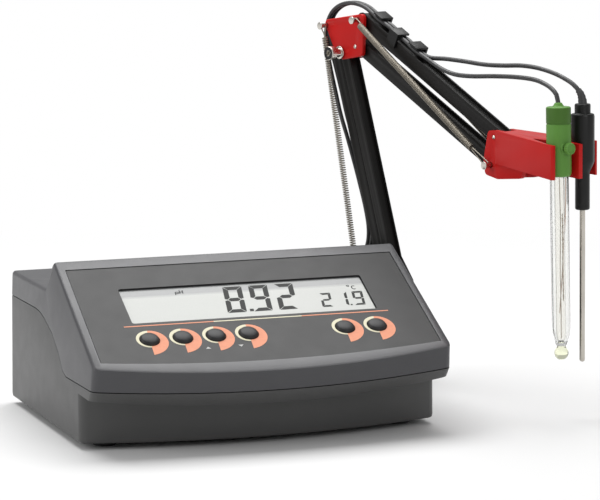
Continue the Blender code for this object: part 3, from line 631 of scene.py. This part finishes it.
def coil_spring(name, start, end, side, free, tail, pitch, body, far_body, node):
    """A wound spring hooked on one pin, and the two wires of its hook on the far pin.

    One far wire ends where the two meet, and the other goes on down the coil's middle.
    """
    a = Vector((start[0], side * SPRING_SIDE, start[1]))
    b = Vector((end[0], side * SPRING_SIDE, end[1]))
    along = (b - a).normalized()
    across = along.cross(Vector((0, 1, 0))).normalized()
    up = along.cross(across)
    mean = SPRING_R - WIRE_R
    full = (b - a).length
    turns = (full - free - COIL_START) / pitch
    path = [a + across * 2.0 + along * 0.2]
    path += [a + across * 1.8 + along * 2.0, a + across * mean + along * 4.4]
    for k in range(int(turns * WIRE_POINTS) + 1):
        angle = 2 * math.pi * k / WIRE_POINTS
        spot = a + along * (COIL_START + pitch * k / WIRE_POINTS)
        path.append(spot + (across * math.cos(angle) + up * math.sin(angle)) * mean)
    obj = piece(name, tube(rings(path, WIRE_R, 6)), ARM, "spring", body, 60)
    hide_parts(node)
    for number, way in enumerate((-1, 1), 1):
        path = [b + across * 2.0 * way - along * 0.2, b + across * 1.9 * way - along * 3.0]
        path += [b + across * 0.8 * way - along * (free - 3)]
        path += [b + across * 0.2 * way - along * free]
        if way > 0:
            path += [b - along * (free + 2), b - along * (free + tail)]
        hook = tube(rings(smooth(path, 16), WIRE_R, 8))
        piece(f"{name}_hook_{number}", hook, ARM, "spring", far_body, 60)


def springs():
    """Four springs: a pair beside the lower bars and a pair beside the upper ones."""
    for name, side in SIDES.items():
        coil_spring(f"lower_coil_{name}", BASE_SPRING, ELBOW_REAR, side, 8.0, 15.0, 1.6,
                    "lower_springs", "lower_rear", f"lower_spring_{name}")
        coil_spring(f"upper_coil_{name}", ELBOW_FRONT, WRIST_LOW, side, 19.0, 8.0, 0.95,
                    "upper_top", "upper_bottom", f"upper_spring_{name}")


# ---------------------------------------------------------------- electrode and probe


def electrode():
    """The green cap with its refill plug, and the glass tube with what is seen inside it."""
    cap = [(0, 158.3), (7.0, 158.3), (7.95, 160.4), (7.95, 191.5), (7.6, 191.7), (7.6, 192.2)]
    cap += [(7.95, 192.4), (7.95, 202.3), (7.2, 202.9), (3.9, 202.9), (2.9, 204.2), (2.2, 205.5)]
    cap += [(0, 205.5)]
    obj = piece("cap", turned(rounded_profile(cap, 0.7), 64), ELECTRODE, "green", "electrode",
                40)
    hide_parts("electrode_cap")
    boss = [(3.0, 5.0), (4.5, 5.0), (4.3, 7.5), (3.6, 8.0), (3.0, 8.0)]
    piece("refill_boss", turned(rounded_profile(boss, 0.3), 32), REFILL, "green", "electrode",
          40)
    plug = [(0, 5.6), (2.6, 5.6), (2.6, 8.9), (3.2, 9.0), (3.9, 9.6), (3.9, 12.0), (3.4, 12.6)]
    plug += [(2.9, 12.6), (2.5, 12.2), (0, 12.2)]

    def serrated(angle, height):
        return 0.16 * math.cos(18 * angle) - 0.16 if height > 9.2 else 0

    obj = piece("refill_cap", turned(rounded_profile(plug, 0.3), 144, serrated), REFILL,
                "green", "refill", 30)
    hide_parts("refill_plug")
    tube_shape = [(0, 49.25), (2.9, 49.25), (3.6, 50.0), (5.5, 56.6), (5.95, 60.4), (6.0, 62.0)]
    tube_shape += [(6.0, 157.9), (5.0, 157.9), (5.0, 61.0), (4.6, 58.0), (3.0, 51.6), (0, 50.8)]
    obj = piece("glass_tube", turned(rounded_profile(tube_shape, 1.2, 4), 64), ELECTRODE,
                "glass", "electrode", 60)
    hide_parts("electrode_glass")
    inner = [(2.3, 53.0), (2.6, 53.0), (3.3, 57.0), (3.3, 157.8), (2.8, 157.8), (2.8, 57.5)]
    piece("inner_tube", turned(rounded_profile(inner, 0.5), 40), ELECTRODE, "inner_glass",
          "electrode", 60)
    fill = [(0, 51.2), (2.0, 51.2), (2.0, 52.6), (0, 52.6)]
    piece("fill_seal", turned(rounded_profile(fill, 0.3), 32), ELECTRODE, "ink", "electrode",
          60)
    silver = [(0, 0, 157.5), (0.4, 0.2, 130), (0.2, -0.3, 100), (0.1, 0.1, 76), (0, 0, 54)]
    piece("inner_wire", tube(rings(smooth(silver, 40), 0.28, 8)), ELECTRODE, "silver",
          "electrode", 60)
    outer = []
    for k in range(61):
        t = k / 60
        angle = 0.7 + 1.9 * t
        outer.append(Vector((4.1 * math.cos(angle), 4.1 * math.sin(angle), 157.5 - 88 * t)))
    piece("reference_wire", tube(rings(outer, 0.3, 8)), ELECTRODE, "copper", "electrode",
          60)
    paste = [(0, 78), (0.3, 78.2)]
    paste += [(0.38 + 0.16 * math.sin(2.3 * k), 80 + 1.5 * k) for k in range(36)]
    paste += [(0.3, 134), (0, 134.2)]
    offset = ELECTRODE @ Matrix.Translation((1.4, 1.0, 0))
    piece("reference_paste", turned(paste, 16), offset, "silver", "electrode", 50)
    ball = [(0, 39.95)]
    for k in range(1, 15):
        a = math.radians(-90 + 9.6 * k)
        ball.append((4.55 * math.cos(a), 44.5 + 4.55 * math.sin(a)))
    ball += [(2.9, 48.3), (2.9, 48.85), (0, 48.85)]
    obj = piece("sensing_bulb", turned(ball, 56), ELECTRODE, "bulb", "electrode", 60)
    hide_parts("electrode_bulb")


def probe():
    """The temperature probe: a fluted handle, a cable sleeve and a steel stem."""
    handle = [(0, 135.15), (4.1, 135.15), (4.75, 135.9), (4.75, 159.4), (7.1, 164.6), (7.7, 166.4)]
    handle += [(7.7, 195.4), (7.3, 196.9), (6.4, 197.2), (5.15, 197.3), (5.15, 202.8)]
    handle += [(4.7, 203.5), (0, 203.5)]

    def fluted(angle, height):
        grip = 168 < height < 195.5
        return -0.12 * (0.5 + 0.5 * math.cos(12 * angle)) if grip else 0

    obj = piece("handle", turned(rounded_profile(handle, 0.8), 96, fluted), PROBE, "black",
                "probe", 40)
    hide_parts("probe_handle")
    route = smooth(PROBE_FRONT[:4], 12)[:9]
    bm = tube(rings(route, lambda t: 3.1 - 1.0 * t - (0.22 if int(t * 8) % 2 else 0), 24))
    piece("probe_sleeve", bm, ARM, "boot", "probe", 40)
    stem = [(0, 36.15), (0.9, 36.2), (1.5, 36.7), (1.8, 37.6), (1.8, 134.8), (0, 134.8)]
    obj = piece("probe_stem", turned(stem, 40), PROBE, "steel", "probe", 50)
    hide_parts("probe_tube")


# ---------------------------------------------------------------- knob and pins


def elbow_hardware():
    """The clamp knob on the arm's left, with a dark ring on its face."""
    at = ARM @ Matrix.Translation((ELBOW_KNOB[0], 0, ELBOW_KNOB[1]))
    at = at @ Matrix.Rotation(math.radians(90), 4, "X")
    knob = [(1.95, 8.4), (4.5, 8.4), (4.5, 9.4), (3.1, 9.8), (3.1, 14.0), (4.8, 14.6)]
    knob += [(4.8, 18.5), (4.3, 19.0), (1.95, 19.0)]

    def knurled(angle, height):
        return -0.14 * (0.5 + 0.5 * math.cos(30 * angle)) if height > 14.7 else 0

    obj = piece("knob", turned(rounded_profile(knob, 0.3), 120, knurled), at, "nickel",
                "knob", 35)
    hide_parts("elbow_knob")
    ring = [(2.1, 18.9), (4.3, 18.9), (4.3, 19.15), (2.1, 19.15)]
    piece("knob_face", turned(ring, 48), at, "black", "knob", 35)


def rivet(node, spot, body):
    """A small-headed rivet, with collars that fill the plates' holes round its ends."""
    at = ARM @ Matrix.Translation((spot[0], 0, spot[1])) @ Matrix.Rotation(math.pi / 2, 4, "X")
    shape = [(0, -8.6), (1.0, -8.5), (1.3, -8.2), (1.3, -6.6), (1.6, -6.5), (1.6, 6.5), (1.3, 6.6)]
    shape += [(1.3, 8.2), (1.0, 8.5), (0, 8.6)]
    obj = piece(f"{node}_shank", turned(shape, 32), at, "nickel", body, 40)
    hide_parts(node)
    for name, side in SIDES.items():
        low, high = sorted((side * 6.8, side * 7.98))
        inner, outer = 1.4, 1.92
        collar = turned([(inner, low), (outer, low), (outer, high), (inner, high)], 40)
        piece(f"{node}_collar_{name}", collar, at, "red", body, 40)


# ---------------------------------------------------------------- panel


def film(name, outline, place, color):
    piece(name, slab(outline, FILM_LOW, FILM_HIGH), place, color, "meter", 35)


def prints():
    """The line under the display, the swirl round each key and two marks, as printed films."""
    step = 2 * LINE_HALF / LINE_PARTS
    for k in range(LINE_PARTS):
        x = -LINE_HALF + k * step
        color = "cream" if abs(x + step / 2) < LINE_HALF * CREAM_SHARE else "salmon"
        outline = [(x, LINE_LOW), (x + step, LINE_LOW), (x + step, LINE_HIGH), (x, LINE_HIGH)]
        film(f"line_{k + 1}", outline, PANEL, color)
    for number, x in enumerate(KEY_X, 1):
        place = PANEL @ Matrix.Translation((x, -KEY_DOWN, 0))
        for label, start, end in (("cream", 0.0, 0.5), ("salmon", 0.5, 1.0)):
            count = 26
            inside, outside = [], []
            for k in range(count + 1):
                t = start + (end - start) * k / count
                angle = math.radians(SWIRL_START - 360 * t)
                wide = 1.3 + 2.3 * t + 5.4 * t ** 4
                for radius, row in ((SWIRL_INNER, inside), (SWIRL_INNER + wide, outside)):
                    row.append((radius * math.cos(angle), radius * math.sin(angle)))
            film(f"swirl_{label}_{number}", inside + outside[::-1], place, label)
    for name, key_x, way in (("mark_up", KEY_X[2], 1), ("mark_down", KEY_X[3], -1)):
        x = key_x - 8.3
        foot = -MARK_DOWN - way
        outline = [(x - MARK_HALF, foot), (x + MARK_HALF, foot), (x, -MARK_DOWN + way)]
        film(name, outline, PANEL, "ink")


# How far a digit leans for each millimetre of its height
LEAN = 0.145
# Which of a digit's seven strokes are on: top, upper right, lower right, bottom, lower left,
# upper left, middle
STROKES = {
    "8": (1, 1, 1, 1, 1, 1, 1), "9": (1, 1, 1, 1, 0, 1, 1), "2": (1, 1, 0, 1, 1, 0, 1),
    "1": (0, 1, 1, 0, 0, 0, 0),
}


def digit(name, figure, left, top, width, height, stroke):
    """A seven-segment figure that leans forward, on the display."""
    w, h, s = width, height, stroke
    m, g = h / 2, stroke * 0.12
    half = s / 2
    shapes = [
        [(g, 0), (w - g, 0), (w - s - g * 0.4, -s), (s + g * 0.4, -s)],
        [(w, -g), (w, -m + g + half * 0.4), (w - half, -m + g), (w - s, -m + half + g),
         (w - s, -s - g * 0.6)],
        [(w, -m - g - half * 0.4), (w, -h + g), (w - s, -h + s + g * 0.6),
         (w - s, -m - half - g), (w - half, -m - g)],
        [(g, -h), (s + g * 0.4, -h + s), (w - s - g * 0.4, -h + s), (w - g, -h)],
        [(0, -m - g - half * 0.4), (half, -m - g), (s, -m - half - g), (s, -h + s + g * 0.6),
         (0, -h + g)],
        [(0, -g), (s, -s - g * 0.6), (s, -m + half + g), (half, -m + g),
         (0, -m + g + half * 0.4)],
        [(half + g, -m), (s + g, -m + half), (w - s - g, -m + half), (w - half - g, -m),
         (w - s - g, -m - half), (s + g, -m - half)],
    ]
    bm = bmesh.new()
    for on, shape in zip(STROKES[figure], shapes):
        if not on:
            continue
        rows = []
        for z in (DISPLAY_H, SEGMENT_HIGH):
            rows.append([bm.verts.new((left + x + y * LEAN, -top + y, z)) for x, y in shape])
        count = len(shape)
        for k in range(count):
            j = (k + 1) % count
            bm.faces.new((rows[0][k], rows[0][j], rows[1][j], rows[1][k]))
        bm.faces.new(rows[0])
        bm.faces.new(rows[1])
    piece(name, bm, PANEL, "segment", "meter", 35)


def dot(name, x, down, size):
    """A decimal point with its top left corner at the given place."""
    outline = [(x, -down), (x + size, -down), (x + size * 0.85, -down - size)]
    outline.append((x - size * 0.15, -down - size))
    shape = slab(outline, DISPLAY_H, SEGMENT_HIGH)
    piece(name, shape, PANEL, "segment", "meter", 35)


def stroke_path(name, points, wide):
    """A small mark on the display drawn with a pen of one width."""
    path = [Vector((x, -y, MARK_H)) for x, y in points]
    bm = tube(rings(path, wide / 2, 8))
    for v in bm.verts:
        v.co.z = MARK_H + (v.co.z - MARK_H) * 0.1
    piece(name, bm, PANEL, "segment", "meter", 50)


def display():
    """Two readings, 8.92 and 21.9, with their points and units."""
    for k, figure in enumerate("892"):
        left = -12.8 + 17.2 * k
        digit(f"figure_{k + 1}", figure, left, 36.0, 12.6, 27.6, 3.4)
    dot("figure_point", -1.6, 60.7, 2.6)
    for k, figure in enumerate("219"):
        left = 48.6 + 10.9 * k
        digit(f"small_figure_{k + 1}", figure, left, 48.8, 7.2, 14.8, 1.75)
    dot("small_point", 65.6, 62.2, 1.3)
    circle = [(69.9 + 0.75 * math.cos(a), 42.6 + 0.75 * math.sin(a))
              for a in (math.pi * k / 8 for k in range(17))]
    stroke_path("degree_mark", circle, 0.6)
    arc = [(73.4 + 1.35 * math.cos(a), 44.6 + 1.75 * math.sin(a))
           for a in (math.radians(50 + 26 * k) for k in range(11))]
    stroke_path("degree_scale", arc, 0.8)
    loop = [(-43.6 + 0.95 * math.cos(a), 39.0 + 0.95 * math.sin(a))
            for a in (math.pi * k / 6 for k in range(13))]
    stroke_path("unit_bowl", loop, 0.75)
    strokes = [((-44.5, 38.2), (-44.9, 41.2)), ((-41.6, 36.6), (-41.9, 40.0))]
    strokes += [((-39.6, 36.6), (-39.9, 40.0)), ((-41.8, 38.3), (-39.8, 38.3))]
    for number, mark in enumerate(strokes, 1):
        stroke_path(f"unit_stroke_{number}", mark, 0.75)


def keys():
    """Silicone domes with a soft rim, on the six key nodes' places."""
    dome = [(0, -12.4), (4.5, -12.4), (4.5, -4.4), (8.3, -4.4), (8.3, -3.1), (6.9, -3.1)]
    dome += [(6.25, -3.0), (6.25, -0.2), (5.9, 0.6), (5.25, 1.3), (4.9, 1.5), (3.4, 1.9)]
    dome += [(1.7, 2.1), (0, 2.15)]
    for number, x in enumerate(KEY_X, 1):
        place = PANEL @ Matrix.Translation((x, -KEY_DOWN, 0))
        obj = piece(f"key_dome_{number}", turned(rounded_profile(dome, 0.5), 48), place,
                    "rubber", f"key_{number}_body", 50)
        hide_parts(f"key_{number}")


# ---------------------------------------------------------------- housing details


def housing_details():
    """Bayonet lugs, contacts and base screws: small fittings that the solids leave out."""
    for side in (-1, 1):
        lug = turned([(0, 0), (1.0, 0), (1.0, 1.5), (0, 1.5)], 20)
        place = CASE @ Matrix.Translation((ELECTRODE_X, REAR_Y + 6.5, SOCKET_Z))
        place = place @ Matrix.Rotation(math.radians(90 * side), 4, "Y")
        place = place @ Matrix.Translation((0, 0, 3.3))
        piece(f"bayonet_lug_{'right' if side > 0 else 'left'}", lug, place, "nickel", "meter",
              35)
    pin = [(0, -11), (0.9, -11), (0.9, -0.6), (0.5, 0), (0, 0)]
    place = CASE @ Matrix.Translation((POWER_X, REAR_Y, SOCKET_Z))
    place = place @ Matrix.Rotation(math.radians(-90), 4, "X")
    piece("power_contact", turned(pin, 24), place, "nickel", "meter", 40)
    for number, (x, y) in enumerate(((-70, -40), (70, -40), (-70, 84), (70, 84)), 1):
        place = CASE @ Matrix.Translation((x, y, 0))
        head = [(0, 3.9), (3.2, 3.9), (3.2, 3.3), (2.6, 2.9), (0, 2.9)]
        piece(f"base_screw_{number}", turned(rounded_profile(head, 0.2), 32), place, "zinc",
              "meter", 40)
        # Each slot is a thin black sheet on the head's face: painted shade where the slot's groove
        # would be.
        for turn in (0, 90):
            slot = slab([(-2.0, -0.3), (2.0, -0.3), (2.0, 0.3), (-2.0, 0.3)], 2.86, 2.9)
            piece(f"base_screw_slot_{number}_{turn}", slot,
                  place @ Matrix.Rotation(math.radians(turn), 4, "Z"), "black", "meter", 35)


# ---------------------------------------------------------------- CAD nodes

# Each node that stays: its finish and how far its edges are rounded, in millimetres
FINISHES = {
    "upper_case": ("housing", 0.9), "lower_case": ("tub", 0.5), "front_overlay": ("overlay", 0.0),
    "display_bezel": ("tub", 0.0), "display_glass": ("display", 0.0), "main_board": ("board", 0.0),
    "electrode_socket": ("nickel", 0.2), "temperature_socket": ("nickel", 0.2),
    "power_inlet": ("black", 0.2), "arm_plate": ("zinc", 0.3), "arm_pin": ("steel", 0.2),
    "plate_pad": ("foot", 0.2), "swivel_base": ("black", 0.6), "lower_front_bar": ("bar", 0.35),
    "lower_rear_bar": ("bar", 0.35), "upper_top_bar": ("bar", 0.35),
    "upper_bottom_bar": ("bar", 0.35), "elbow_plate_left": ("red", 0.5),
    "elbow_plate_right": ("red", 0.5), "electrode_holder": ("red", 0.7),
    "elbow_bolt": ("nickel", 0.3), "elbow_rear_pin": ("nickel", 0.25),
    "elbow_front_pin": ("nickel", 0.25),
    "base_front_pin": ("nickel", 0.25), "base_rear_pin": ("nickel", 0.25),
    "base_spring_pin": ("nickel", 0.25), "wrist_lower_pin": ("nickel", 0.25),
    "electrode_plug": ("nickel", 0.25), "temperature_plug": ("black", 0.25),
}


def dress(name, material, soften):
    """Gives a CAD node its finish, smooth round faces and softened edges."""
    node = NODES[name]
    node.data.materials.clear()
    node.data.materials.append(PAINT[material])
    node.data.shade_smooth()
    weld = node.modifiers.new("weld", "WELD")
    weld.merge_threshold = 0.00002
    if soften:
        bevel = node.modifiers.new("soften", "BEVEL")
        bevel.width = soften * MM
        bevel.segments = 3
        bevel.limit_method = "ANGLE"
        bevel.angle_limit = math.radians(34)
    split = node.modifiers.new("sharp", "EDGE_SPLIT")
    split.split_angle = math.radians(34)
    split.use_edge_sharp = False


def dress_all():
    for name, (material, soften) in FINISHES.items():
        dress(name, material, soften)
    for number in range(1, 5):
        dress(f"foot_{number}", "foot", 0.3)
    for number in range(1, 4):
        dress(f"cable_clip_{number}", "black", 0.4)


# ---------------------------------------------------------------- studio


# Where the floor starts to fade and where it is all white, and half its width, in metres
FADE_START, FADE_END = 0.42, 0.95
FLOOR_HALF = 7.0


def area(name, place, target, size, power):
    """A rectangular lamp that faces a target."""
    data = bpy.data.lights.new(name, "AREA")
    data.shape = "RECTANGLE"
    data.size, data.size_y = size
    data.energy = power
    obj = bpy.data.objects.new(name, data)
    bpy.context.scene.collection.objects.link(obj)
    obj.location = place
    aim = Vector(target) - Vector(place)
    obj.rotation_euler = aim.to_track_quat("-Z", "Y").to_euler()


def fade_out(shade):
    """The floor goes over into the white surround away from the object."""
    distance = shade.tree.nodes.new("ShaderNodeVectorMath")
    distance.operation = "LENGTH"
    shade.tree.links.new(shade.where, distance.inputs[0])
    white = shade.tree.nodes.new("ShaderNodeEmission")
    both = shade.tree.nodes.new("ShaderNodeMixShader")
    output = shade.tree.nodes["Material Output"]
    away = shade.spread(distance.outputs["Value"], 0, 1, FADE_START, FADE_END)
    shade.tree.links.new(away, both.inputs["Fac"])
    shade.tree.links.new(shade.shader.outputs[0], both.inputs[1])
    shade.tree.links.new(white.outputs[0], both.inputs[2])
    shade.tree.links.new(both.outputs[0], output.inputs["Surface"])


def studio():
    """A pale floor that runs into a pale surround, and three soft lights."""
    floor_shade = Shade("floor", (0.64, 0.64, 0.64), 0.8)
    floor_shade.vary(3, 0.01)
    floor_shade.bump(floor_shade.noise(500, 2.0), 0.04, 0.0002)
    floor_shade.set("Specular IOR Level", 0.1)
    fade_out(floor_shade)
    bm = bmesh.new()
    bmesh.ops.create_grid(bm, x_segments=2, y_segments=2, size=FLOOR_HALF)
    mesh = bpy.data.meshes.new("floor")
    bm.to_mesh(mesh)
    bm.free()
    mesh.materials.append(floor_shade.material)
    floor = bpy.data.objects.new("floor", mesh)
    bpy.context.scene.collection.objects.link(floor)
    floor.location.z = -0.0002
    world = bpy.data.worlds.new("surround")
    bpy.context.scene.world = world
    world.use_nodes = True
    tree = world.node_tree
    back = tree.nodes["Background"]
    back.inputs["Color"].default_value = (1, 1, 1, 1)
    seen = tree.nodes.new("ShaderNodeLightPath").outputs["Is Camera Ray"]
    level = tree.nodes.new("ShaderNodeMapRange")
    level.inputs["To Min"].default_value = 0.5
    level.inputs["To Max"].default_value = 1.0
    tree.links.new(seen, level.inputs["Value"])
    tree.links.new(level.outputs["Result"], back.inputs["Strength"])
    area("top_light", (0.02, 0.45, 1.5), (0, 0, 0), (1.6, 1.2), 34)
    area("left_light", (-1.5, -0.1, 0.75), (0, 0, 0.08), (0.9, 0.9), 8)
    area("front_light", (0.4, -1.7, 0.8), (0, 0, 0.1), (0.8, 0.6), 5)
    view = bpy.context.scene.view_settings
    view.view_transform = "Standard"
    view.look = "None"


def main():
    studio()
    springs()
    electrode()
    probe()
    elbow_hardware()
    rivet("elbow_rivet", ELBOW_RIVET, "elbow")
    rivet("wrist_upper_pin", WRIST_TOP, "wrist")
    keys()
    prints()
    display()
    housing_details()
    dress_all()


camera()
PAINT = paints()
cables()
main()
